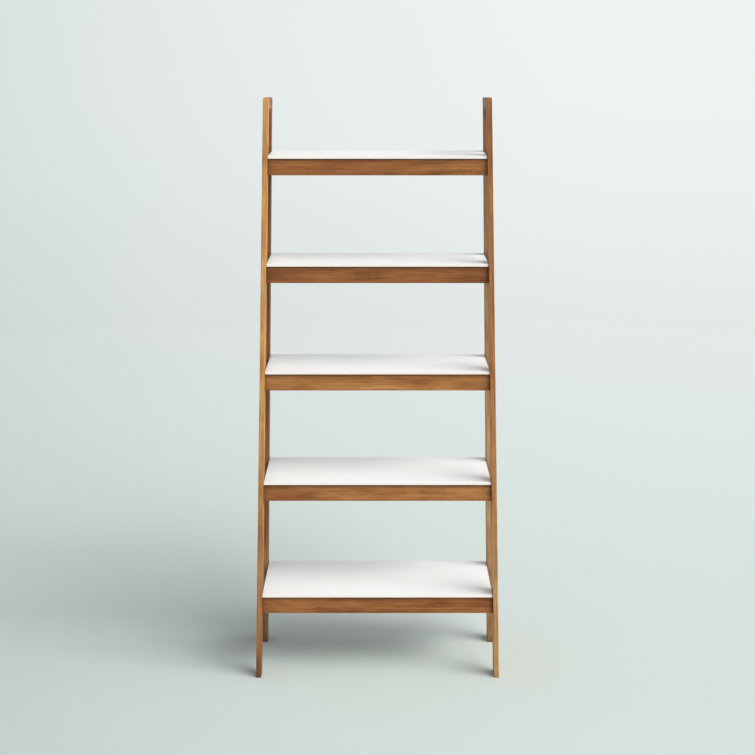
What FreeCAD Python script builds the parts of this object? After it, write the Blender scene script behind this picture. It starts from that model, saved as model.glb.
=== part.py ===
import FreeCAD, Part
import os

import Sketcher

# Ladder bookcase in millimetres: +Z up, front towards -Y, origin on the floor
# under the middle of the bounding box. Two flat side frames lean towards each
# other, and each carries a raked front leg, an upright back leg and a top rail.
# Five boxed shelves are bolted between the frames from the inside.

Vector = FreeCAD.Vector
Rotation = FreeCAD.Rotation
Placement = FreeCAD.Placement

DIMENSIONS = {
    # overall
    "overall_height": 1800,
    "base_depth": 415,
    "floor_inner_width": 733,
    "splay_angle": 1.0,
    "rake_angle": 5.5,
    # side frames
    "leg_thickness": 16,
    "leg_width": 65,
    "leg_edge_radius": 1.2,
    "top_fall": 7,
    "top_corner_radius": 12,
    "top_rail_height": 34,
    "arch_radius": 30,
    "arch_toe": 1.5,
    "arch_run_out": 1,
    # height of each board's underside
    "top_shelf_height": 1614.5,
    "upper_shelf_height": 1284.5,
    "middle_shelf_height": 952,
    "lower_shelf_height": 607,
    "bottom_shelf_height": 252.5,
    # boards
    "board_thickness": 9,
    "board_setback": 6,
    "board_end_gap": 1,
    "board_edge_radius": 0.8,
    # aprons and side rails
    "apron_height": 51,
    "apron_thickness": 16,
    "apron_setback": 12,
    "back_apron_setback": 3,
    "apron_edge_radius": 1.2,
    "rail_width": 18,
    "rail_height": 30,
    # dowels
    "dowel_diameter": 8,
    "dowel_length": 30,
    "dowel_depth_in_apron": 11,
    "dowel_first_drop": 8,
    "dowel_spacing": 14,
    "dowel_chamfer": 0.8,
    "top_dowel_first_drop": 12,
    "top_dowel_spacing": 16,
    "hole_clearance": 0.2,
    "hole_end_room": 1,
    # bolts and threaded inserts
    "bolt_inset": 49,
    "bolt_drop": 15,
    "bolt_shank_diameter": 6,
    "bolt_length": 28,
    "bolt_head_diameter": 14,
    "bolt_head_height": 2.5,
    "bolt_chamfer": 1,
    "bolt_socket_width": 4,
    "bolt_socket_depth": 1.8,
    "bolt_hole_diameter": 6.6,
    "insert_diameter": 9,
    "insert_length": 11,
    "insert_chamfer": 0.7,
    "insert_recess": 0.5,
    "insert_bore": 6.3,
    # board screws
    "screw_inset": 60,
    "screw_shank_diameter": 3.5,
    "screw_head_diameter": 7,
    "screw_head_height": 2.2,
    "screw_head_chamfer": 0.8,
    "screw_length": 24,
    "screw_tip_length": 4,
    "screw_tip_radius": 0.2,
    "screw_depth_in_board": 6,
    "screw_hole_diameter": 4,
    "counterbore_diameter": 8,
}

SHELVES = ("top", "upper", "middle", "lower", "bottom")
SIDES = {"left": -1, "right": 1}
FORWARD = Vector(0, -1, 0)
BACKWARD = Vector(0, 1, 0)
UP = Vector(0, 0, 1)
DOWEL_HOLE = "Sheet.dowel_diameter + Sheet.hole_clearance"

# Lengths along a side frame, worked out from the sheet's cells
INNER_FACE_TOP = "(Sheet.overall_height - Sheet.leg_thickness * sin(Sheet.splay_angle))"
FRAME_LENGTH = f"({INNER_FACE_TOP} / cos(Sheet.splay_angle))"
TOP_DEPTH = f"(Sheet.base_depth - {FRAME_LENGTH} * tan(Sheet.rake_angle))"
TOP_SLOPE = f"(Sheet.top_fall / {TOP_DEPTH})"
FRONT_JOINT_DROP = f"({TOP_SLOPE} * Sheet.leg_width / (1 + {TOP_SLOPE} * tan(Sheet.rake_angle)))"
FRONT_JOINT_TOP = f"({FRAME_LENGTH} - {FRONT_JOINT_DROP})"
BACK_APRON_FACE = "(Sheet.base_depth / 2 - Sheet.back_apron_setback - Sheet.apron_thickness)"
SCREW_GRIP = "(Sheet.screw_length - Sheet.screw_depth_in_board)"

# Waste that is cut off after a plank is padded, the cutters' own sizes, how far a drill starts
# outside the wood, and how near, how straight or how long an edge has to be to be the one meant
FOOT_WASTE = 2.0
END_WASTE = 4.0
RAIL_TOP_WASTE = 1.0
CUTTER_LENGTH = 1000.0
CUTTER_DEPTH = 60.0
OVERRUN = 1.0
EDGE_TOLERANCE = 0.05
STRAIGHT_SHARE = 0.9
LONG_SHARE = 0.8

doc = FreeCAD.newDocument("LadderBookcase")
sheet = doc.addObject("Spreadsheet::Sheet", "Sheet")


def fill_sheet():
    for row, (name, value) in enumerate(DIMENSIONS.items(), start=1):
        sheet.set(f"A{row}", name)
        sheet.set(f"B{row}", str(value))
        sheet.setAlias(f"B{row}", name)
    doc.recompute()


def size(expression):
    """Number that an expression in the sheet's cells comes to."""
    return float(sheet.evalExpression(expression.replace("Sheet.", "")))


# ---------------------------------------------------------------- helpers


def new_body(label, placement=None):
    body = doc.addObject("PartDesign::Body", label)
    body.Label = label
    body.Placement = placement or Placement()
    return body


def sketch_polygon(body, plane_role, corners):
    """Closed outline with straight sides, each corner bound to a pair of expressions."""
    sketch = body.newObject("Sketcher::SketchObject", f"{body.Name}_outline")
    plane = next(item for item in body.Origin.OriginFeatures if item.Role == plane_role)
    sketch.AttachmentSupport = (plane, [""])
    sketch.MapMode = "FlatFace"
    points = [Vector(size(across), size(up), 0) for across, up in corners]
    count = len(points)
    for index, start in enumerate(points):
        sketch.addGeometry(Part.LineSegment(start, points[(index + 1) % count]))
    for index in range(count):
        sketch.addConstraint(Sketcher.Constraint("Coincident", index, 2, (index + 1) % count, 1))
    for index, (across, up) in enumerate(corners):
        for kind, number, expression in (
            ("DistanceX", points[index].x, across),
            ("DistanceY", points[index].y, up),
        ):
            constraint = sketch.addConstraint(Sketcher.Constraint(kind, -1, 1, index, 1, number))
            sketch.setExpression(f"Constraints[{constraint}]", expression)
    return sketch


def pad(body, sketch, length, reverse=False, both_ways=False):
    feature = body.newObject("PartDesign::Pad", f"{body.Name}_pad")
    feature.Profile = sketch
    feature.setExpression("Length", length)
    feature.Reversed = reverse
    feature.Midplane = both_ways
    doc.recompute()
    return feature


def round_edges(body, radius, chosen):
    """Fillet the edges of the body for which chosen(edge) is true."""
    base = body.Tip
    names = [f"Edge{number}" for number, edge in enumerate(base.Shape.Edges, start=1) if chosen(edge)]
    if not names:
        raise RuntimeError(f"{body.Label}: no edge to round")
    fillet = body.newObject("PartDesign::Fillet", f"{body.Name}_round")
    fillet.Base = (base, names)
    fillet.setExpression("Radius", radius)
    doc.recompute()
    return fillet


def edge_at(across, up):
    """Chooses the edge along X that passes through (across, up) in the body's YZ plane."""
    place = Vector(0, across, up)

    def chosen(edge):
        ends = [Vector(0, vertex.Y, vertex.Z) for vertex in edge.Vertexes]
        return all(end.distanceToPoint(place) < EDGE_TOLERANCE for end in ends)

    return chosen


def cut_away(body, corner, extent, placement):
    """Remove a box that is given in the frame of placement, which is in room coordinates."""
    before = body.Shape.Volume
    box = body.newObject("PartDesign::SubtractiveBox", f"{body.Name}_trim")
    box.Length, box.Width, box.Height = extent
    box.Placement = body.Placement.inverse() * placement * Placement(corner, Rotation())
    doc.recompute()
    if body.Shape.Volume >= before:
        raise RuntimeError(f"{body.Label}: the trim removed nothing")


def drill(body, mouth, direction, diameter, depth):
    """Round hole from its mouth along a direction, both in room coordinates."""
    before = body.Shape.Volume
    turn = Rotation(Vector(0, 0, 1), direction)
    hole = body.newObject("PartDesign::SubtractiveCylinder", f"{body.Name}_hole")
    hole.setExpression("Radius", f"({diameter}) / 2")
    hole.setExpression("Height", f"{depth} + {OVERRUN}")
    hole.Placement = body.Placement.inverse() * Placement(mouth - direction * OVERRUN, turn)
    doc.recompute()
    if body.Shape.Volume >= before:
        raise RuntimeError(f"{body.Label}: the hole removed nothing")


def group(label, master, placements):
    """Identical fasteners in one node, each a separate solid at its own place."""
    links = []
    for placement in placements:
        link = doc.addObject("App::Link", f"{label}_link")
        link.LinkedObject = master
        link.LinkPlacement = placement
        links.append(link)
    compound = doc.addObject("Part::Compound", label)
    compound.Label = label
    compound.Links = links
    doc.recompute()
    return compound


# ---------------------------------------------------------------- places


def frame_placement(side):
    """Frame of a side frame: X is 0 on its inner face and Z runs up the frame."""
    base = Vector(side * size("Sheet.floor_inner_width") / 2, 0, 0)
    return Placement(base, Rotation(Vector(0, 1, 0), -side * size("Sheet.splay_angle")))


def half_width(height):
    """Expression for half the clear width between the frames at a height above the floor."""
    return f"(Sheet.floor_inner_width / 2 - ({height}) * tan(Sheet.splay_angle))"


def leg_front(along):
    """Expression for the depth position of a front leg's front face, at a length up the frame."""
    return f"(-Sheet.base_depth / 2 + ({along}) * tan(Sheet.rake_angle))"


def up_frame(height):
    """Expression for the length up a side frame's inner face to a height above the floor."""
    return f"(({height}) / cos(Sheet.splay_angle))"


def shelf_height(shelf):
    return f"Sheet.{shelf}_shelf_height"


def apron_back_face(shelf, drop):
    """Expression for the front apron's back face, at a drop below the board."""
    height = f"({shelf_height(shelf)} - ({drop}))"
    return f"({leg_front(height)} + Sheet.apron_setback + Sheet.apron_thickness)"


def dowel_drops():
    first = size("Sheet.dowel_first_drop")
    return (first, first + size("Sheet.dowel_spacing"))


def shelf_dowel_places(shelf):
    """Centre line start points of a shelf's dowels, in room coordinates, with the end they join."""
    places = []
    for side in SIDES.values():
        for drop in dowel_drops():
            along = size(up_frame(shelf_height(shelf))) - drop
            local = Vector(-side * size("Sheet.rail_width") / 2, 0, along)
            room = frame_placement(side).multVec(local)
            front = size(apron_back_face(shelf, f"{size(shelf_height(shelf)) - room.z}"))
            places.append((side, "front", Vector(room.x, front, room.z)))
            places.append((side, "back", Vector(room.x, size(BACK_APRON_FACE), room.z)))
    return places


def bolt_places(shelf):
    """Points on the frames' inner faces where a shelf is bolted, with the outward direction."""
    places = []
    along = size(up_frame(f"{shelf_height(shelf)} - Sheet.bolt_drop"))
    front = size(leg_front(str(along))) + size("Sheet.bolt_inset")
    back = size("Sheet.base_depth / 2 - Sheet.bolt_inset")
    for side in SIDES.values():
        frame = frame_placement(side)
        outward = frame.Rotation.multVec(Vector(side, 0, 0))
        for leg, depth in (("front", front), ("back", back)):
            places.append((side, leg, frame.multVec(Vector(0, depth, along)), outward))
    return places


def screw_places(shelf):
    """Points on the board's underside where the side rails are screwed to it."""
    inset = size("Sheet.screw_inset")
    front = size(apron_back_face(shelf, "0")) + inset
    back = size(BACK_APRON_FACE) - inset
    height = size(shelf_height(shelf))
    across = size(f"{half_width(shelf_height(shelf))} - Sheet.rail_width / 2")
    places = []
    for side in SIDES.values():
        for depth in (front, back):
            places.append((side, Vector(side * across, depth, height)))
    return places


def top_dowel_places(side):
    """Centres of the dowels that join a top rail to its legs, on the joint faces."""
    frame = frame_placement(side)
    middle = side * size("Sheet.leg_thickness") / 2
    top = size(FRAME_LENGTH)
    places = []
    first = size("Sheet.top_dowel_first_drop")
    for drop in (first, first + size("Sheet.top_dowel_spacing")):
        front = size(leg_front(str(top - drop))) + size("Sheet.leg_width")
        back = size("Sheet.base_depth / 2 - Sheet.leg_width")
        places.append(("front", frame.multVec(Vector(middle, front, top - drop))))
        places.append(("back", frame.multVec(Vector(middle, back, top - drop))))
    return places


# ---------------------------------------------------------------- side frames


def along_x(edge):
    direction = edge.Vertexes[-1].Point - edge.Vertexes[0].Point
    return direction.Length > 0 and abs(direction.x) > STRAIGHT_SHARE * direction.Length


def long_edge(edge):
    """True for a leg's four arrises and false for the edges round its ends."""
    return edge.Length > LONG_SHARE * size("Sheet.overall_height")


def level_foot(body):
    """Cut the foot level with the floor, because the plank itself is splayed."""
    corner = Vector(-CUTTER_LENGTH / 2, -CUTTER_LENGTH / 2, -CUTTER_DEPTH)
    cut_away(body, corner, (CUTTER_LENGTH, CUTTER_LENGTH, CUTTER_DEPTH), Placement())


def drill_leg(body, side, leg):
    """Holes in one leg for the shelves' threaded inserts and for the top rail's dowels."""
    insert_depth = "Sheet.insert_length + Sheet.insert_recess + Sheet.hole_end_room"
    for shelf in SHELVES:
        for place_side, place_leg, point, outward in bolt_places(shelf):
            if place_side == side and place_leg == leg:
                drill(body, point, outward, "Sheet.insert_diameter + Sheet.hole_clearance", insert_depth)
    inward = FORWARD if leg == "front" else BACKWARD
    for place_leg, point in top_dowel_places(side):
        if place_leg == leg:
            drill(body, point, inward, DOWEL_HOLE, "Sheet.dowel_length / 2 + Sheet.hole_end_room")


def front_leg(name, side):
    body = new_body(f"{name}_front_leg", frame_placement(side))
    foot = str(-FOOT_WASTE)
    outline = sketch_polygon(
        body,
        "YZ_Plane",
        [
            (leg_front(foot), foot),
            (f"{leg_front(foot)} + Sheet.leg_width", foot),
            (f"{leg_front(FRONT_JOINT_TOP)} + Sheet.leg_width", FRONT_JOINT_TOP),
            (leg_front(FRAME_LENGTH), FRAME_LENGTH),
        ],
    )
    pad(body, outline, "Sheet.leg_thickness", reverse=side < 0)
    level_foot(body)
    corner = edge_at(size(leg_front(FRAME_LENGTH)), size(FRAME_LENGTH))
    round_edges(body, "Sheet.top_corner_radius", corner)
    round_edges(body, "Sheet.leg_edge_radius", long_edge)
    drill_leg(body, side, "front")
    return body


def back_leg(name, side):
    body = new_body(f"{name}_back_leg", frame_placement(side))
    rear = "Sheet.base_depth / 2"
    front = f"({rear} - Sheet.leg_width)"
    foot = str(-FOOT_WASTE)
    rear_top = f"({FRAME_LENGTH} - Sheet.top_fall)"
    outline = sketch_polygon(
        body,
        "YZ_Plane",
        [
            (front, foot),
            (rear, foot),
            (rear, rear_top),
            (front, f"{rear_top} + {TOP_SLOPE} * Sheet.leg_width"),
        ],
    )
    pad(body, outline, "Sheet.leg_thickness", reverse=side < 0)
    level_foot(body)
    round_edges(body, "Sheet.top_corner_radius", edge_at(size(rear), size(rear_top)))
    round_edges(body, "Sheet.leg_edge_radius", long_edge)
    drill_leg(body, side, "back")
    return body


def top_rail(name, side):
    body = new_body(f"{name}_top_rail", frame_placement(side))
    back = "(Sheet.base_depth / 2 - Sheet.leg_width)"
    back_top = f"({FRAME_LENGTH} - Sheet.top_fall + {TOP_SLOPE} * Sheet.leg_width)"
    underside = f"({FRAME_LENGTH} - Sheet.top_fall / 2 - Sheet.top_rail_height)"
    tips = f"({underside} - Sheet.arch_radius - Sheet.arch_run_out)"

    def front(along):
        return f"({leg_front(along)} + Sheet.leg_width)"

    outline = sketch_polygon(
        body,
        "YZ_Plane",
        [
            (front(FRONT_JOINT_TOP), FRONT_JOINT_TOP),
            (back, back_top),
            (back, tips),
            (f"{back} - Sheet.arch_toe", tips),
            (f"{back} - Sheet.arch_toe", underside),
            (f"{front(underside)} + Sheet.arch_toe", underside),
            (f"{front(tips)} + Sheet.arch_toe", tips),
            (front(tips), tips),
        ],
    )
    pad(body, outline, "Sheet.leg_thickness", reverse=side < 0)
    arch_corners = [
        edge_at(size(f"{back} - Sheet.arch_toe"), size(underside)),
        edge_at(size(f"{front(underside)} + Sheet.arch_toe"), size(underside)),
    ]
    round_edges(body, "Sheet.arch_radius", lambda edge: any(chosen(edge) for chosen in arch_corners))
    for leg, point in top_dowel_places(side):
        inward = BACKWARD if leg == "front" else FORWARD
        drill(body, point, inward, DOWEL_HOLE, "Sheet.dowel_length / 2 + Sheet.hole_end_room")
    return body


# ---------------------------------------------------------------- shelves


def board(shelf):
    height = shelf_height(shelf)
    top = f"({height} + Sheet.board_thickness)"
    front = f"({leg_front(top)} + Sheet.board_setback)"
    body = new_body(f"{shelf}_shelf_board", Placement(Vector(0, size(front), 0), Rotation()))
    outline = sketch_polygon(
        body,
        "XZ_Plane",
        [
            (f"-({half_width(height)} - Sheet.board_end_gap)", height),
            (f"{half_width(height)} - Sheet.board_end_gap", height),
            (f"{half_width(top)} - Sheet.board_end_gap", top),
            (f"-({half_width(top)} - Sheet.board_end_gap)", top),
        ],
    )
    pad(body, outline, f"Sheet.base_depth / 2 - {front}", reverse=True)

    def in_front(edge):
        return along_x(edge) and edge.Vertexes[0].Y < EDGE_TOLERANCE

    round_edges(body, "Sheet.board_edge_radius", in_front)
    pilot_depth = "Sheet.screw_depth_in_board + Sheet.hole_end_room"
    for _, point in screw_places(shelf):
        drill(body, point, UP, "Sheet.screw_shank_diameter + Sheet.hole_clearance", pilot_depth)
    return body


def trim_end(body, side):
    """Cut an apron's end parallel to the side frame that it stands against."""
    corner = Vector(0 if side > 0 else -CUTTER_DEPTH, -CUTTER_LENGTH / 2, 0)
    extent = (CUTTER_DEPTH, CUTTER_LENGTH, 2 * CUTTER_LENGTH)
    cut_away(body, corner, extent, frame_placement(side))


def drill_apron(body, shelf, end):
    outward = FORWARD if end == "front" else BACKWARD
    for _, place_end, point in shelf_dowel_places(shelf):
        if place_end == end:
            drill(body, point, outward, DOWEL_HOLE, "Sheet.dowel_depth_in_apron + Sheet.hole_end_room")


def front_apron(shelf):
    height = shelf_height(shelf)
    face = size(f"{leg_front(height)} + Sheet.apron_setback")
    body = new_body(f"{shelf}_shelf_front_apron", Placement(Vector(0, face, size(height)), Rotation()))
    rake = "Sheet.apron_height * tan(Sheet.rake_angle)"
    outline = sketch_polygon(
        body,
        "YZ_Plane",
        [
            (f"-{rake}", "-Sheet.apron_height"),
            (f"Sheet.apron_thickness - {rake}", "-Sheet.apron_height"),
            ("Sheet.apron_thickness", "0"),
            ("0", "0"),
        ],
    )
    widest = half_width(f"{height} - Sheet.apron_height")
    pad(body, outline, f"2 * {widest} + {END_WASTE}", both_ways=True)
    for side in SIDES.values():
        trim_end(body, side)
    lowest = EDGE_TOLERANCE - size("Sheet.apron_height")

    def shown(edge):
        """The lower edges and the upper front edge, but not the one under the board."""
        corner = edge.Vertexes[0]
        return along_x(edge) and (corner.Z < lowest or corner.Y < EDGE_TOLERANCE)

    round_edges(body, "Sheet.apron_edge_radius", shown)
    drill_apron(body, shelf, "front")
    return body


def back_apron(shelf):
    height = shelf_height(shelf)
    low = f"({height} - Sheet.apron_height)"
    body = new_body(f"{shelf}_shelf_back_apron", Placement(Vector(0, size(BACK_APRON_FACE), 0), Rotation()))
    outline = sketch_polygon(
        body,
        "XZ_Plane",
        [
            (f"-{half_width(low)}", low),
            (half_width(low), low),
            (half_width(height), height),
            (f"-{half_width(height)}", height),
        ],
    )
    pad(body, outline, "Sheet.apron_thickness", reverse=True)
    lowest = size(low) + EDGE_TOLERANCE
    round_edges(body, "Sheet.apron_edge_radius", lambda edge: along_x(edge) and edge.Vertexes[0].Z < lowest)
    drill_apron(body, shelf, "back")
    return body


def side_rail(shelf, name, side):
    body = new_body(f"{shelf}_shelf_{name}_rail", frame_placement(side))
    height = shelf_height(shelf)
    top = f"({up_frame(height)} + {RAIL_TOP_WASTE})"
    low = up_frame(f"{height} - Sheet.rail_height")

    def front(along):
        """The front apron's back face, at a length up the frame."""
        drop = f"{height} - ({along}) * cos(Sheet.splay_angle)"
        return apron_back_face(shelf, drop)

    outline = sketch_polygon(
        body,
        "YZ_Plane",
        [
            (front(low), low),
            (BACK_APRON_FACE, low),
            (BACK_APRON_FACE, top),
            (front(top), top),
        ],
    )
    pad(body, outline, "Sheet.rail_width", reverse=side > 0)
    corner = Vector(-CUTTER_LENGTH / 2, -CUTTER_LENGTH / 2, size(height))
    cut_away(body, corner, (CUTTER_LENGTH, CUTTER_LENGTH, CUTTER_DEPTH), Placement())
    drill_rail(body, shelf, side)
    return body


def drill_rail(body, shelf, side):
    """Holes in one side rail for its dowels, its bolts and the screws that hold the board."""
    dowel_depth = "Sheet.dowel_length - Sheet.dowel_depth_in_apron + Sheet.hole_end_room"
    for place_side, end, point in shelf_dowel_places(shelf):
        if place_side == side:
            drill(body, point, BACKWARD if end == "front" else FORWARD, DOWEL_HOLE, dowel_depth)
    rail_width = size("Sheet.rail_width")
    for place_side, _, point, outward in bolt_places(shelf):
        if place_side == side:
            inner_mouth = point - outward * rail_width
            drill(body, inner_mouth, outward, "Sheet.bolt_hole_diameter", f"Sheet.rail_width + {OVERRUN}")
    grip = size(SCREW_GRIP)
    rail_height = size("Sheet.rail_height")
    for place_side, point in screw_places(shelf):
        if place_side == side:
            drill(body, point - UP * grip, UP, "Sheet.screw_hole_diameter", f"{SCREW_GRIP} + {OVERRUN}")
            counterbore_depth = f"Sheet.rail_height - {SCREW_GRIP}"
            drill(body, point - UP * rail_height, UP, "Sheet.counterbore_diameter", counterbore_depth)


# ---------------------------------------------------------------- fasteners


def spun(label, corners):
    """Master fastener turned about its own axis, which is X, from a half outline in the XY plane."""
    body = new_body(label)
    outline = sketch_polygon(body, "XY_Plane", corners)
    turn = body.newObject("PartDesign::Revolution", f"{label}_turn")
    turn.Profile = outline
    turn.ReferenceAxis = (outline, ["H_Axis"])
    turn.Angle = 360
    doc.recompute()
    return body


def dowel_master():
    radius = "Sheet.dowel_diameter / 2"
    waist = f"({radius} - Sheet.dowel_chamfer)"
    end = "Sheet.dowel_length / 2"
    return spun(
        "dowel_master",
        [
            (f"-{end}", "0"),
            (f"-{end}", waist),
            (f"-{end} + Sheet.dowel_chamfer", radius),
            (f"{end} - Sheet.dowel_chamfer", radius),
            (end, waist),
            (end, "0"),
        ],
    )


def bolt_master():
    """Flat-head machine bolt: the head's underside is at X 0 and the shank runs along +X."""
    shank = "Sheet.bolt_shank_diameter / 2"
    head = "Sheet.bolt_head_diameter / 2"
    body = spun(
        "bolt_master",
        [
            ("-Sheet.bolt_head_height", "0"),
            ("-Sheet.bolt_head_height", f"{head} - Sheet.bolt_chamfer"),
            ("-Sheet.bolt_head_height + Sheet.bolt_chamfer", head),
            ("0", head),
            ("0", shank),
            ("Sheet.bolt_length - Sheet.bolt_chamfer", shank),
            ("Sheet.bolt_length", f"{shank} - Sheet.bolt_chamfer"),
            ("Sheet.bolt_length", "0"),
        ],
    )
    socket = body.newObject("PartDesign::SubtractivePrism", "bolt_socket")
    socket.Polygon = 6
    socket.setExpression("Circumradius", "Sheet.bolt_socket_width / sqrt(3)")
    socket.setExpression("Height", "Sheet.bolt_socket_depth")
    start = Vector(-size("Sheet.bolt_head_height"), 0, 0)
    socket.Placement = Placement(start, Rotation(Vector(0, 0, 1), Vector(1, 0, 0)))
    doc.recompute()
    return body


def insert_master():
    """Threaded insert: its flush end is at X 0 and it runs along +X."""
    bore = "Sheet.insert_bore / 2"
    outer = "Sheet.insert_diameter / 2"
    return spun(
        "insert_master",
        [
            ("0", bore),
            ("0", outer),
            ("Sheet.insert_length - Sheet.insert_chamfer", outer),
            ("Sheet.insert_length", f"{outer} - Sheet.insert_chamfer"),
            ("Sheet.insert_length", bore),
        ],
    )


def screw_master():
    """Pan-head wood screw: the head's underside is at X 0 and the tip points along +X."""
    shank = "Sheet.screw_shank_diameter / 2"
    head = "Sheet.screw_head_diameter / 2"
    crown = "-Sheet.screw_head_height"
    return spun(
        "screw_master",
        [
            (crown, "0"),
            (crown, f"{head} - Sheet.screw_head_chamfer"),
            (f"{crown} + Sheet.screw_head_chamfer", head),
            ("0", head),
            ("0", shank),
            ("Sheet.screw_length - Sheet.screw_tip_length", shank),
            ("Sheet.screw_length", "Sheet.screw_tip_radius"),
            ("Sheet.screw_length", "0"),
        ],
    )


def pointing(start, direction):
    return Placement(start, Rotation(Vector(1, 0, 0), direction))


def top_dowels(name, side, master):
    return group(
        f"{name}_top_rail_dowels",
        master,
        [pointing(point, BACKWARD) for _, point in top_dowel_places(side)],
    )


def shelf_dowels(shelf, master):
    """Each dowel goes further into the side rail than into the thinner apron."""
    offset = size("Sheet.dowel_length / 2 - Sheet.dowel_depth_in_apron")
    places = []
    for _, end, point in shelf_dowel_places(shelf):
        inward = BACKWARD if end == "front" else FORWARD
        places.append(pointing(point + inward * offset, inward))
    return group(f"{shelf}_shelf_dowels", master, places)


def shelf_bolts(shelf, master):
    rail = size("Sheet.rail_width")
    places = [pointing(point - outward * rail, outward) for _, _, point, outward in bolt_places(shelf)]
    return group(f"{shelf}_shelf_bolts", master, places)


def shelf_inserts(shelf, master):
    recess = size("Sheet.insert_recess")
    places = [pointing(point + outward * recess, outward) for _, _, point, outward in bolt_places(shelf)]
    return group(f"{shelf}_shelf_inserts", master, places)


def shelf_screws(shelf, master):
    grip = size(SCREW_GRIP)
    places = [pointing(point - UP * grip, UP) for _, point in screw_places(shelf)]
    return group(f"{shelf}_shelf_screws", master, places)


# ---------------------------------------------------------------- the bookcase


def build():
    fill_sheet()
    dowel = dowel_master()
    bolt = bolt_master()
    insert = insert_master()
    screw = screw_master()
    nodes = []
    for name, side in SIDES.items():
        nodes.append(front_leg(name, side))
        nodes.append(back_leg(name, side))
        nodes.append(top_rail(name, side))
        nodes.append(top_dowels(name, side, dowel))
    for shelf in SHELVES:
        nodes.append(board(shelf))
        nodes.append(front_apron(shelf))
        nodes.append(back_apron(shelf))
        for name, side in SIDES.items():
            nodes.append(side_rail(shelf, name, side))
        nodes.append(shelf_dowels(shelf, dowel))
        nodes.append(shelf_bolts(shelf, bolt))
        nodes.append(shelf_inserts(shelf, insert))
        nodes.append(shelf_screws(shelf, screw))
    return nodes


def check(nodes):
    for item in doc.Objects:
        if "Invalid" in item.State or "Error" in item.State:
            raise RuntimeError(f"{item.Label} failed: {item.State}")
    for node in nodes:
        if node.Shape.isNull() or not node.Shape.isValid():
            raise RuntimeError(f"{node.Label} has no valid shape")


def write(nodes):
    os.makedirs("parts", exist_ok=True)
    for node in nodes:
        node.Shape.exportStep(f"parts/{node.Label}.step")
        box = node.Shape.BoundBox
        print(f"{node.Label:32s} solids {len(node.Shape.Solids)}  volume {node.Shape.Volume:11.1f}"
              f"  X {box.XMin:8.2f} {box.XMax:8.2f}  Y {box.YMin:8.2f} {box.YMax:8.2f}"
              f"  Z {box.ZMin:8.2f} {box.ZMax:8.2f}")


bookcase = build()
check(bookcase)
write(bookcase)
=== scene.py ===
import math

import bmesh
import bpy
import numpy as np
from mathutils import Matrix, Vector


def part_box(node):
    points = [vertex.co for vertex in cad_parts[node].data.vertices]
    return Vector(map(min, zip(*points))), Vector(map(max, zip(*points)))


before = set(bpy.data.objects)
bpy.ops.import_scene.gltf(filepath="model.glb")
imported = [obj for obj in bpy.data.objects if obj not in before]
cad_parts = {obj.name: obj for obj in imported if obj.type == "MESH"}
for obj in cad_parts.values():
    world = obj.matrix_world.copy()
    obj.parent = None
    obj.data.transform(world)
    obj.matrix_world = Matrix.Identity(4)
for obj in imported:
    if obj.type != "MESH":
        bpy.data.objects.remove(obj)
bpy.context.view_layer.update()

SHELVES = ("top", "upper", "middle", "lower", "bottom")
SIDES = ("left", "right")

# How light each leg's wood is at its low end, in the middle and at its high end
LEG_TONES = {
    "left_front_leg": (0.76, 1.67, 1.79),
    "right_front_leg": (1.52, 1.14, 0.98),
    "left_back_leg": (1.22, 0.83, 0.66),
    "right_back_leg": (1.08, 1.44, 0.66),
}
EVEN_TONES = (1.0, 1.0, 1.0)
# How much greener and bluer each leg's wood is made at its low end, in the middle and at its high end
LEG_COOLING = {
    "left_front_leg": (0.54, 0.0, 0.0),
    "right_front_leg": (0.73, 0.10, 0.0),
    "left_back_leg": (1.0, 0.0, 0.0),
    "right_back_leg": (0.68, 0.70, 0.0),
}
# How light each front apron's wood is at its left end, in the middle and at its right end
APRON_TONES = {
    "top": (0.90, 0.86, 1.02),
    "upper": (0.80, 0.85, 0.76),
    "middle": (1.25, 1.20, 1.10),
    "lower": (0.95, 1.13, 1.24),
    "bottom": (1.01, 0.88, 0.93),
}
# How much painted shade darkens each front apron close under its board's lip, and how far down that shade
# reaches in metres
APRON_SHADES = {"top": 0.12, "upper": 0.08, "middle": 0.45, "lower": 0.48, "bottom": 0.56}
SHADE_DEPTH = 0.016

# Each plank takes its wood from a place of its own in the timber, by its seed
FIRST_LEG_SEED = 10
FIRST_TOP_RAIL_SEED = 20
FIRST_SHELF_SEED = 30
WOODEN_PARTS_PER_SHELF = 4


# ---------------------------------------------------------------- node helpers

# How alike a rounded and a flat normal are on a flat face, and on an arris
FLAT_LIKENESS = 0.99
ARRIS_LIKENESS = 0.86
# How much of the space around a point is open in the crook of a joint
CROOK_OPENNESS = 0.62


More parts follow.
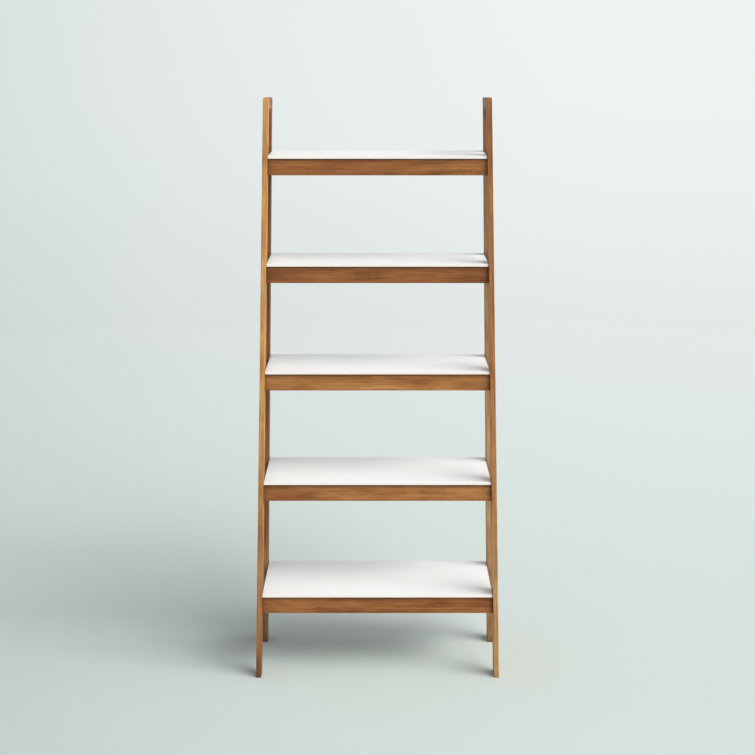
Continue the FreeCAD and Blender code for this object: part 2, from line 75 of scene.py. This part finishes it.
class Shading:
    """One material and short calls that add nodes to it."""

    def __init__(self, name):
        self.material = bpy.data.materials.new(name)
        self.material.use_nodes = True
        self.tree = self.material.node_tree
        self.tree.nodes.clear()

    def add(self, kind, inputs=None, **settings):
        node = self.tree.nodes.new(kind)
        for name, value in settings.items():
            setattr(node, name, value)
        for key, value in (inputs or {}).items():
            if isinstance(value, bpy.types.NodeSocket):
                self.tree.links.new(value, node.inputs[key])
            else:
                node.inputs[key].default_value = value
        return node

    def math(self, operation, first, second=0.0, clamp=False):
        inputs = {0: first, 1: second}
        return self.add("ShaderNodeMath", inputs, operation=operation, use_clamp=clamp).outputs[0]

    def vector(self, operation, first, second=(0.0, 0.0, 0.0)):
        node = self.add("ShaderNodeVectorMath", {0: first, 1: second}, operation=operation)
        return node.outputs["Value" if operation in ("DOT_PRODUCT", "LENGTH") else "Vector"]

    def noise(self, place, scale, detail=2.0, roughness=0.5):
        """Noise whose scale is cycles per metre, along each axis of the place."""
        stretched = self.vector("MULTIPLY", place, scale)
        inputs = {"Vector": stretched, "Scale": 1.0, "Detail": detail, "Roughness": roughness}
        return self.add("ShaderNodeTexNoise", inputs)

    def remap(self, value, low, high, new_low=0.0, new_high=1.0):
        """Stretch low..high to new_low..new_high, and hold the ends beyond it."""
        inputs = {
            "Value": value,
            "From Min": low,
            "From Max": high,
            "To Min": new_low,
            "To Max": new_high,
        }
        return self.add("ShaderNodeMapRange", inputs).outputs["Result"]

    def blend(self, factor, first, second, blend_type="MIX"):
        node = self.add("ShaderNodeMix", data_type="RGBA", blend_type=blend_type)
        # a mix node keeps its colour sockets after those for numbers and vectors
        sockets = node.inputs[0], node.inputs[6], node.inputs[7]
        for socket, value in zip(sockets, (factor, first, second)):
            if isinstance(value, bpy.types.NodeSocket):
                self.tree.links.new(value, socket)
            else:
                socket.default_value = value
        return node.outputs[2]

    def stain(self, colour, mask, amount, tint, blend_type="MIX"):
        """Bring a tint into the colour where the mask is 1, up to the amount."""
        return self.blend(self.math("MULTIPLY", mask, amount), colour, tint, blend_type)

    def ramp(self, value, stops):
        node = self.add("ShaderNodeValToRGB", {"Fac": value})
        elements = node.color_ramp.elements
        while len(elements) < len(stops):
            elements.new(0.5)
        for element, (position, colour) in zip(elements, stops):
            element.position = position
            element.color = (*colour, 1.0)
        return node.outputs["Color"]

    def edge_mask(self, radius):
        """1 on an arris and 0 on flat faces."""
        rounded = self.add("ShaderNodeBevel", {"Radius": radius}, samples=4).outputs["Normal"]
        flat = self.add("ShaderNodeNewGeometry").outputs["True Normal"]
        likeness = self.vector("DOT_PRODUCT", rounded, flat)
        return self.remap(likeness, FLAT_LIKENESS, ARRIS_LIKENESS)

    def nearness(self, distance):
        """Mask for painted shade: 0 in the open and 1 in the crook of a joint, falling off over the
        distance.
        """
        opened = self.add("ShaderNodeAmbientOcclusion", {"Distance": distance}, samples=8).outputs["AO"]
        return self.remap(opened, 1.0, CROOK_OPENNESS)

    def bump(self, height, distance, strength=1.0):
        inputs = {"Height": height, "Distance": distance, "Strength": strength}
        return self.add("ShaderNodeBump", inputs).outputs["Normal"]

    def finish(self, **inputs):
        named = {name.replace("_", " "): value for name, value in inputs.items()}
        surface = self.add("ShaderNodeBsdfPrincipled", named)
        output = self.add("ShaderNodeOutputMaterial")
        self.tree.links.new(surface.outputs["BSDF"], output.inputs["Surface"])
        return self.material


# ---------------------------------------------------------------- wood

WOOD_COLOURS = [
    (0.12, (0.169, 0.062, 0.021)),
    (0.40, (0.283, 0.112, 0.034)),
    (0.65, (0.373, 0.158, 0.050)),
    (0.92, (0.468, 0.224, 0.082)),
]
REDDENING = (0.98, 0.80, 0.78, 1.0)
COOLER_TINT = (1.0, 1.28, 1.8, 1.0)
GRAIN_LINE = (0.120, 0.045, 0.015, 1.0)
PORE = (0.085, 0.036, 0.016, 1.0)
END_GRAIN = (0.150, 0.066, 0.028, 1.0)
RUBBED_ARRIS = (0.600, 0.350, 0.160, 1.0)
# Colour of the painted shade in the crooks of joints and under the boards' lips, and how far the joints'
# painted shade reaches
JOINT_SHADE = (0.030, 0.012, 0.006, 1.0)
JOINT_REACH = 0.032
ARRIS_RADIUS = 0.0014
# How much faster green and blue grow than red as the wood lightens
YELLOWING = 1.35
RING_SCALE = 62.0
RING_BEND = 0.030


def plank_frame(node):
    """Rotation with X along a plank and Z across its thickness, and the plank's middle and half length."""
    corners = np.array([vertex.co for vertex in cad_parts[node].data.vertices], float)
    low, high = corners.min(0), corners.max(0)
    middle = (low + high) / 2
    axes = np.linalg.svd(corners - corners.mean(0), full_matrices=False)[2]
    along = Vector(axes[0])
    if along[int(np.argmax(np.abs(axes[0])))] < 0:
        along = -along
    thickness = Vector(axes[2])
    across = thickness.cross(along)
    rotation = Matrix((along, across, thickness)).transposed()
    half_length = float(np.abs((corners - middle) @ np.array(along)).max())
    return rotation, Vector(middle), half_length


class Plank:
    """Where a point is on a plank, for the wood's material: in metres, on the plank and in the timber."""

    def __init__(self, shading, node, seed):
        rotation, middle, self.half_length = plank_frame(node)
        coordinates = shading.add("ShaderNodeTexCoord")
        inputs = {
            "Vector": coordinates.outputs["Object"],
            "Location": middle,
            "Rotation": rotation.to_euler(),
        }
        self.place = shading.add("ShaderNodeMapping", inputs, vector_type="TEXTURE").outputs["Vector"]
        self.timber = shading.vector("ADD", self.place, (3.7 * seed, 1.3 * seed, 0.9 * seed))
        facing = shading.vector("DOT_PRODUCT", coordinates.outputs["Normal"], rotation.col[0])
        self.end_grain = shading.remap(shading.math("ABSOLUTE", facing), 0.75, 0.95)


def run_along(shading, plank, values):
    """Value that runs evenly from a plank's low end to its middle, and on to its high end."""
    along = shading.add("ShaderNodeSeparateXYZ", {"Vector": plank.place}).outputs["X"]
    low, middle, high = values
    return shading.math(
        "ADD",
        shading.remap(along, -plank.half_length, 0.0, low, middle),
        shading.remap(along, 0.0, plank.half_length, 0.0, high - middle),
    )


def plank_tone(shading, plank, tones, colour):
    """Lighten the colour along a plank: lighter wood is yellower too, as under a thinner stain."""
    shade = run_along(shading, plank, tones)
    yellower = shading.math("POWER", shade, YELLOWING)
    lightness = shading.add("ShaderNodeCombineColor", {"Red": shade, "Green": yellower, "Blue": yellower})
    return shading.blend(1.0, colour, lightness.outputs["Color"], "MULTIPLY")


def lip_shade_mask(shading, board_bottom):
    """Mask for the painted shade under a board's lip: 0 in the open and 1 right under the lip."""
    place = shading.add("ShaderNodeTexCoord").outputs["Object"]
    height = shading.add("ShaderNodeSeparateXYZ", {"Vector": place}).outputs["Z"]
    return shading.remap(height, board_bottom - SHADE_DEPTH, board_bottom)


def growth_rings(shading, plank, seed):
    """Rings round a pith that lies beside the plank, bent a little along their length."""
    wander = shading.noise(plank.timber, (1.7, 10.0, 10.0), detail=2.0).outputs["Color"]
    centred = shading.vector("SUBTRACT", wander, (0.5, 0.5, 0.5))
    bend = shading.vector("MULTIPLY", centred, (0.0, RING_BEND, RING_BEND))
    pith = (0.0, 0.030 + 0.012 * (seed % 3), 0.045 + 0.010 * (seed % 4))
    round_pith = shading.vector("ADD", shading.vector("ADD", plank.place, bend), pith)
    return shading.add(
        "ShaderNodeTexWave",
        {"Vector": round_pith, "Scale": RING_SCALE, "Distortion": 0.0},
        wave_type="RINGS",
        rings_direction="X",
        wave_profile="SAW",
    ).outputs["Fac"]


def stained_wood(node, seed, tones, lip_shade=0.0, board_bottom=0.0, cooling=None):
    """Light hardwood under a warm brown stain and a satin lacquer, with painted shade in its joints and
    under the boards' lips.
    """
    shading = Shading(f"stained_wood_{node}")
    plank = Plank(shading, node, seed)

    def along_grain(scale, detail, roughness=0.5):
        return shading.noise(plank.timber, scale, detail, roughness).outputs["Fac"]

    rings = growth_rings(shading, plank, seed)
    clouds = along_grain((9.0, 42.0, 42.0), 3.0, 0.55)
    streaks = along_grain((4.0, 120.0, 120.0), 3.0, 0.55)
    fibres = along_grain((26.0, 850.0, 850.0), 4.0, 0.6)
    redness = shading.remap(along_grain((6.0, 60.0, 60.0), 1.0), 0.48, 0.66)
    grain_lines = shading.remap(along_grain((5.0, 380.0, 380.0), 2.0, 0.6), 0.53, 0.64)
    pores = shading.remap(along_grain((130.0, 2600.0, 2600.0), 1.0), 0.60, 0.70)

    figure = shading.math("MULTIPLY", rings, 0.14)
    for pattern, low, high, weight in (
        (clouds, 0.30, 0.70, 0.46),
        (streaks, 0.28, 0.72, 0.26),
        (fibres, 0.30, 0.70, 0.18),
    ):
        figure = shading.math("ADD", figure, shading.remap(pattern, low, high, 0.0, weight))

    colour = shading.ramp(figure, WOOD_COLOURS)
    colour = shading.stain(colour, redness, 0.55, REDDENING, "MULTIPLY")
    colour = plank_tone(shading, plank, tones, colour)
    # the wood is made greener and bluer along the plank, by the amounts given for each leg
    if cooling:
        colour = shading.stain(colour, run_along(shading, plank, cooling), 1.0, COOLER_TINT, "MULTIPLY")
    colour = shading.stain(colour, grain_lines, 0.30, GRAIN_LINE)
    colour = shading.stain(colour, pores, 0.45, PORE)
    colour = shading.stain(colour, plank.end_grain, 0.55, END_GRAIN)
    rubbed = shading.math("MULTIPLY", shading.edge_mask(ARRIS_RADIUS), streaks, clamp=True)
    colour = shading.stain(colour, rubbed, 0.45, RUBBED_ARRIS)
    # painted shade: the wood is darkened close under the board's lip, where the board shades it
    if lip_shade:
        colour = shading.stain(colour, lip_shade_mask(shading, board_bottom), lip_shade, JOINT_SHADE)
    # painted shade in the crooks of joints, where the legs, rails and boards shade the wood
    colour = shading.stain(colour, shading.nearness(JOINT_REACH), 0.40, JOINT_SHADE)

    relief = shading.math("SUBTRACT", shading.math("MULTIPLY", fibres, 0.6), pores)
    return shading.finish(
        Base_Color=colour,
        Roughness=shading.remap(fibres, 0.25, 0.75, 0.40, 0.54),
        Specular_IOR_Level=0.10,
        Coat_Weight=0.02,
        Coat_Roughness=0.35,
        Normal=shading.bump(relief, 0.00012),
    )


# ---------------------------------------------------------------- other materials

WARM_EDGE = (1.0, 0.93, 0.88, 1.0)
RUBBED_LACQUER = (0.760, 0.735, 0.705, 1.0)
BOARD_ARRIS_RADIUS = 0.0010
BEECH_FLECK = (0.28, 0.15, 0.07, 1.0)


def white_board():
    """Satin white lacquer with a faint orange peel, warmer on the thin edges and rubbed on the arrises."""
    shading = Shading("white_board")
    coordinates = shading.add("ShaderNodeTexCoord")
    place = coordinates.outputs["Object"]
    upward = shading.vector("DOT_PRODUCT", coordinates.outputs["Normal"], (0.0, 0.0, 1.0))
    thin_edge = shading.remap(shading.math("ABSOLUTE", upward), 0.8, 0.2)
    cloud = shading.noise(place, (5.0, 5.0, 5.0), detail=3.0).outputs["Fac"]
    grime = shading.noise(place, (60.0, 60.0, 60.0), detail=4.0).outputs["Fac"]
    peel = shading.noise(place, (420.0, 420.0, 420.0), detail=2.0).outputs["Fac"]
    mottle = shading.math("ADD", shading.math("MULTIPLY", cloud, 0.7), shading.math("MULTIPLY", grime, 0.3))
    colour = shading.ramp(mottle, [(0.30, (0.930, 0.927, 0.923)), (0.70, (0.960, 0.958, 0.955))])
    colour = shading.stain(colour, thin_edge, 1.0, WARM_EDGE, "MULTIPLY")
    colour = shading.stain(colour, shading.edge_mask(BOARD_ARRIS_RADIUS), 0.35, RUBBED_LACQUER)
    return shading.finish(
        Base_Color=colour,
        Roughness=shading.remap(grime, 0.3, 0.7, 0.30, 0.40),
        Normal=shading.bump(peel, 0.00005),
    )


def dowel_wood():
    """Bare beech with its short dark flecks."""
    shading = Shading("dowel_wood")
    place = shading.add("ShaderNodeTexCoord").outputs["Object"]
    fibres = shading.noise(place, (900.0, 40.0, 900.0), detail=4.0, roughness=0.6).outputs["Fac"]
    flecks = shading.noise(place, (1500.0, 260.0, 1500.0), detail=1.0).outputs["Fac"]
    colour = shading.ramp(fibres, [(0.30, (0.50, 0.34, 0.20)), (0.70, (0.68, 0.50, 0.32))])
    fleck = shading.remap(flecks, 0.62, 0.70, 0.0, 0.5)
    colour = shading.blend(fleck, colour, BEECH_FLECK)
    return shading.finish(Base_Color=colour, Roughness=0.62, Normal=shading.bump(fibres, 0.00008))


def metal(name, dark, light, roughness):
    """Plated metal with fine turning marks and a cloudy plating."""
    shading = Shading(name)
    place = shading.add("ShaderNodeTexCoord").outputs["Object"]
    cloud = shading.noise(place, (140.0, 140.0, 140.0), detail=3.0).outputs["Fac"]
    marks = shading.noise(place, (400.0, 3000.0, 3000.0), detail=2.0).outputs["Fac"]
    colour = shading.ramp(cloud, [(0.30, dark), (0.70, light)])
    return shading.finish(
        Base_Color=colour,
        Metallic=1.0,
        Roughness=shading.remap(marks, 0.3, 0.7, roughness - 0.06, roughness + 0.08),
        Normal=shading.bump(marks, 0.00003),
    )


LACQUER = white_board()
BEECH = dowel_wood()
ZINC = metal("zinc_steel", dark=(0.55, 0.56, 0.58), light=(0.70, 0.71, 0.72), roughness=0.30)
BRASS = metal("insert_brass", dark=(0.60, 0.42, 0.16), light=(0.80, 0.60, 0.28), roughness=0.28)


# ---------------------------------------------------------------- painting


def paint(node, material):
    """Give a CAD node its finish through its object's own slots."""
    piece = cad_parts[node]
    for slot in piece.material_slots:
        slot.link = "OBJECT"
        slot.material = material


def paint_frames():
    for seed, (node, tones) in enumerate(LEG_TONES.items(), start=FIRST_LEG_SEED):
        paint(node, stained_wood(node, seed, tones, cooling=LEG_COOLING[node]))
    for seed, side in enumerate(SIDES, start=FIRST_TOP_RAIL_SEED):
        node = f"{side}_top_rail"
        paint(node, stained_wood(node, seed, EVEN_TONES))
        paint(f"{side}_top_rail_dowels", BEECH)


def paint_shelf_wood(shelf, first_seed):
    front_apron = f"{shelf}_shelf_front_apron"
    board_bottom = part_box(f"{shelf}_shelf_board")[0][2]
    tones = APRON_TONES[shelf]
    paint(front_apron, stained_wood(front_apron, first_seed, tones, APRON_SHADES[shelf], board_bottom))
    middle_tone = tones[1]
    for seed, part in enumerate(("back_apron", "left_rail", "right_rail"), start=first_seed + 1):
        node = f"{shelf}_shelf_{part}"
        paint(node, stained_wood(node, seed, (middle_tone, middle_tone, middle_tone)))


def paint_shelves():
    for number, shelf in enumerate(SHELVES):
        paint_shelf_wood(shelf, FIRST_SHELF_SEED + WOODEN_PARTS_PER_SHELF * number)
        paint(f"{shelf}_shelf_board", LACQUER)
        paint(f"{shelf}_shelf_dowels", BEECH)
        paint(f"{shelf}_shelf_bolts", ZINC)
        paint(f"{shelf}_shelf_screws", ZINC)
        paint(f"{shelf}_shelf_inserts", BRASS)


# ---------------------------------------------------------------- studio

FLOOR_RADIUS = 7.0
SWEEP_RADIUS = 4.0
SWEEP_STEPS = 24
WALL_HEIGHT = 7.0
TURN_STEPS = 96
# The wall's glow grows up to this height and is even above it
BACKDROP_TOP = 2.2
# The painted side shade's bearings fan out from a point this far in front of the bookcase
FAN_DISTANCE = 6.0
LEAST_DEPTH = 1.0
FAN_LEFT = -0.20
FAN_RIGHT = 0.13
# In front of the bookcase the painted side shade fades, between these places along Y, to an even tone
SIDE_SHADE_GONE_Y = -3.5
SIDE_SHADE_FULL_Y = -1.0
EVEN_SIDE_SHADE = (0.952, 0.960, 0.955, 1.0)
# Floor colour by distance from the middle: the paper's mint, with painted light that makes it paler further
# out
FLOOR_PAPER_AND_LIGHT = [
    (0.00, (0.647, 0.704, 0.674)),
    (0.30, (0.673, 0.746, 0.716)),
    (0.62, (0.713, 0.770, 0.751)),
    (0.95, (0.744, 0.776, 0.767)),
]
WALL_GLOW = [
    (0.00, (0.778, 0.816, 0.807)),
    (0.07, (0.794, 0.831, 0.825)),
    (0.20, (0.810, 0.849, 0.849)),
    (0.38, (0.833, 0.877, 0.873)),
    (0.66, (0.856, 0.889, 0.881)),
    (1.00, (0.862, 0.898, 0.888)),
]
# How much painted shade darkens the backdrop, from the left of the fan to its right
SIDE_SHADE_RAMP = [
    (0.00, (0.810, 0.850, 0.833)),
    (0.30, (0.905, 0.920, 0.915)),
    (0.55, (0.952, 0.960, 0.955)),
    (0.80, (0.988, 0.990, 0.990)),
    (1.00, (1.000, 1.000, 1.000)),
]


def paint_side_shade(shading, place, colour):
    """Paint shade on a backdrop colour, slightly darker towards the left, along bearings that fan out to
    the back.
    """
    axes = shading.add("ShaderNodeSeparateXYZ", {"Vector": place})
    depth = shading.math("ADD", axes.outputs["Y"], FAN_DISTANCE)
    depth = shading.math("MAXIMUM", depth, LEAST_DEPTH)
    bearing = shading.math("DIVIDE", axes.outputs["X"], depth)
    fall = shading.ramp(shading.remap(bearing, FAN_LEFT, FAN_RIGHT), SIDE_SHADE_RAMP)
    share = shading.remap(axes.outputs["Y"], SIDE_SHADE_GONE_Y, SIDE_SHADE_FULL_Y)
    return shading.blend(1.0, colour, shading.blend(share, EVEN_SIDE_SHADE, fall), "MULTIPLY")


def floor_material():
    """Matt mint paper with painted light, which grows paler away from the middle."""
    shading = Shading("studio_paper")
    place = shading.add("ShaderNodeTexCoord").outputs["Object"]
    radius = shading.vector("LENGTH", place)
    colour = shading.ramp(shading.remap(radius, 0.0, FLOOR_RADIUS), FLOOR_PAPER_AND_LIGHT)
    colour = paint_side_shade(shading, place, colour)
    grain = shading.noise(place, (600.0, 600.0, 600.0)).outputs["Fac"]
    return shading.finish(
        Base_Color=colour,
        Roughness=0.9,
        Specular_IOR_Level=0.2,
        Normal=shading.bump(grain, 0.0001, 0.3),
    )


def wall_material():
    """Evenly glowing backdrop that carries the floor's colour on upwards."""
    shading = Shading("studio_wall")
    place = shading.add("ShaderNodeTexCoord").outputs["Object"]
    height = shading.add("ShaderNodeSeparateXYZ", {"Vector": place}).outputs["Z"]
    colour = shading.ramp(shading.remap(height, 0.0, BACKDROP_TOP), WALL_GLOW)
    colour = paint_side_shade(shading, place, colour)
    glow = shading.add("ShaderNodeEmission", {"Color": colour, "Strength": 1.0})
    output = shading.add("ShaderNodeOutputMaterial")
    shading.tree.links.new(glow.outputs["Emission"], output.inputs["Surface"])
    return shading.material


def turned_surface(name, profile, material):
    """Surface swept round the Z axis from a profile of (radius, height) points."""
    shape = bmesh.new()
    line = [shape.verts.new((radius, 0.0, height)) for radius, height in profile]
    edges = [shape.edges.new(pair) for pair in zip(line, line[1:])]
    bmesh.ops.spin(
        shape,
        geom=line + edges,
        cent=(0, 0, 0),
        axis=(0, 0, 1),
        angle=math.tau,
        steps=TURN_STEPS,
        use_merge=True,
    )
    bmesh.ops.remove_doubles(shape, verts=shape.verts, dist=0.0001)
    bmesh.ops.recalc_face_normals(shape, faces=shape.faces)
    mesh = bpy.data.meshes.new(name)
    shape.to_mesh(mesh)
    shape.free()
    mesh.shade_smooth()
    mesh.materials.append(material)
    surface = bpy.data.objects.new(name, mesh)
    bpy.context.scene.collection.objects.link(surface)
    return surface


def make_studio():
    """Round paper floor and a wall that sweeps up from its rim, so that they back every view."""
    turned_surface("studio_floor", [(0.0, 0.0), (FLOOR_RADIUS, 0.0)], floor_material())
    profile = [(FLOOR_RADIUS, 0.0)]
    for step in range(1, SWEEP_STEPS + 1):
        turn = math.radians(90) * step / SWEEP_STEPS
        profile.append((FLOOR_RADIUS + SWEEP_RADIUS * math.sin(turn), SWEEP_RADIUS * (1 - math.cos(turn))))
    profile.append((FLOOR_RADIUS + SWEEP_RADIUS, WALL_HEIGHT))
    wall = turned_surface("studio_wall", profile, wall_material())
    # the wall is only looked at: the lamps and the air light the bookcase
    wall.visible_diffuse = False
    wall.visible_shadow = False


# ---------------------------------------------------------------- lights

LAMP_COLOUR = (1.0, 0.985, 0.965)
LAMP_DISTANCE = 4.0
# Each lamp's azimuth (0 in front, 90 to the right), elevation and spread in degrees, and strength
LAMPS = {
    "front_lamp": (30, 38, 30, 1.27),
    "key_lamp": (60, 40, 32, 1.52),
    "side_lamp": (90, 42, 30, 0.42),
}
AIR_COLOUR = (0.93, 0.97, 1.0, 1.0)
AIR_STRENGTH = 0.41


def soft_lamp(name, azimuth, elevation, spread, strength):
    """Distant soft lamp, which shines on the bookcase the same wherever it stands."""
    around, up = math.radians(azimuth), math.radians(elevation)
    outward = Vector((math.sin(around) * math.cos(up), -math.cos(around) * math.cos(up), math.sin(up)))
    data = bpy.data.lights.new(name, "SUN")
    data.angle = math.radians(spread)
    data.energy = strength
    data.color = LAMP_COLOUR
    lamp = bpy.data.objects.new(name, data)
    lamp.location = outward * LAMP_DISTANCE
    lamp.rotation_mode = "QUATERNION"
    lamp.rotation_quaternion = outward.to_track_quat("Z", "Y")
    bpy.context.scene.collection.objects.link(lamp)


def make_lights():
    for name, settings in LAMPS.items():
        soft_lamp(name, *settings)
    world = bpy.data.worlds.new("studio_air")
    world.use_nodes = True
    background = world.node_tree.nodes["Background"]
    background.inputs["Color"].default_value = AIR_COLOUR
    background.inputs["Strength"].default_value = AIR_STRENGTH
    bpy.context.scene.world = world
    bpy.context.scene.view_settings.view_transform = "Standard"


# ---------------------------------------------------------------- camera

CAMERA_DISTANCE = 5.8745
CAMERA_HEIGHT = 2.011
CAMERA_PITCH = 10.5
CAMERA_LENS = 90.0
CAMERA_SENSOR = 36.0
CAMERA_RANGE = 60.0


def make_camera():
    data = bpy.data.cameras.new("front_camera")
    data.lens = CAMERA_LENS
    data.sensor_width = CAMERA_SENSOR
    data.clip_end = CAMERA_RANGE
    camera = bpy.data.objects.new("front_camera", data)
    camera.location = (0.0, -CAMERA_DISTANCE, CAMERA_HEIGHT)
    camera.rotation_euler = (math.radians(90.0 - CAMERA_PITCH), 0.0, 0.0)
    bpy.context.scene.collection.objects.link(camera)
    bpy.context.scene.camera = camera


# ---------------------------------------------------------------- the scene

paint_frames()
paint_shelves()
make_studio()
make_lights()
make_camera()
